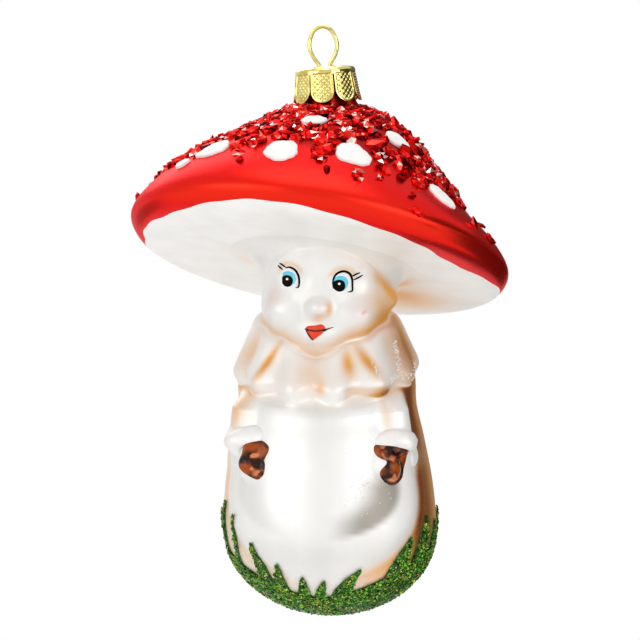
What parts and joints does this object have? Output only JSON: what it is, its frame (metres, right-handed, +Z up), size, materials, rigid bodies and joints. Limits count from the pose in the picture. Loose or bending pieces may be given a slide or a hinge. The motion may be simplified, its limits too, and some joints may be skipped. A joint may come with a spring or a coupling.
{
  "type": "mushroom christmas ornament",
  "caption": "Hanging blown-glass mushroom figure with a tilted spotted hat, crusted crown, moulded face, ruffled collar and arms, glitter grass foot, metal cap and wire loop.",
  "frame": {"origin": "where the hook bears, on the inside of the top of the wire loop", "axes": "+Z up as it hangs, -Y towards the viewer that the face looks at, +X to that viewer's right"},
  "size_m": [0.0868, 0.0824, 0.1364],
  "materials": {
    "painted_glass": "pearl and lacquer paint",
    "red_glass_chips": "crushed glass",
    "white_enamel": "thick enamel dots",
    "green_glitter": "glitter in glue",
    "gold_metal": "bright gold plate"
  },
  "bodies": {
    "glass": {"glass_body": "painted_glass", "chip_crust": "red_glass_chips", "grass_band": "green_glitter", "white_spot_1": "white_enamel", "white_spot_2": "white_enamel", "white_spot_3": "white_enamel", "white_spot_4": "white_enamel", "white_spot_5": "white_enamel", "white_spot_6": "white_enamel", "white_spot_7": "white_enamel", "white_spot_8": "white_enamel", "white_spot_9": "white_enamel", "white_spot_10": "white_enamel", "white_spot_11": "white_enamel", "white_spot_12": "white_enamel", "white_spot_13": "white_enamel", "loose_chip_1": "red_glass_chips", "loose_chip_2": "red_glass_chips", "loose_chip_3": "red_glass_chips", "loose_chip_4": "red_glass_chips", "loose_chip_5": "red_glass_chips", "loose_chip_6": "red_glass_chips", "loose_chip_7": "red_glass_chips", "loose_chip_8": "red_glass_chips", "loose_chip_9": "red_glass_chips", "loose_chip_10": "red_glass_chips", "loose_chip_11": "red_glass_chips", "loose_chip_12": "red_glass_chips"},
    "crown": {"crown_cap": "gold_metal"},
    "hanger": {"hanger_wire": "gold_metal"}
  },
  "joints": [
    {"name": "crown_pull", "type": "slide", "parent": "glass", "child": "crown", "axis": [-0.0785, 0, 0.9969], "range_m": [0, 0.018]},
    {"name": "hanger_swivel", "type": "hinge", "parent": "crown", "child": "hanger", "pos_m": [0, 0, 0], "axis": [-0.0785, 0, 0.9969], "continuous": true}
  ]
}
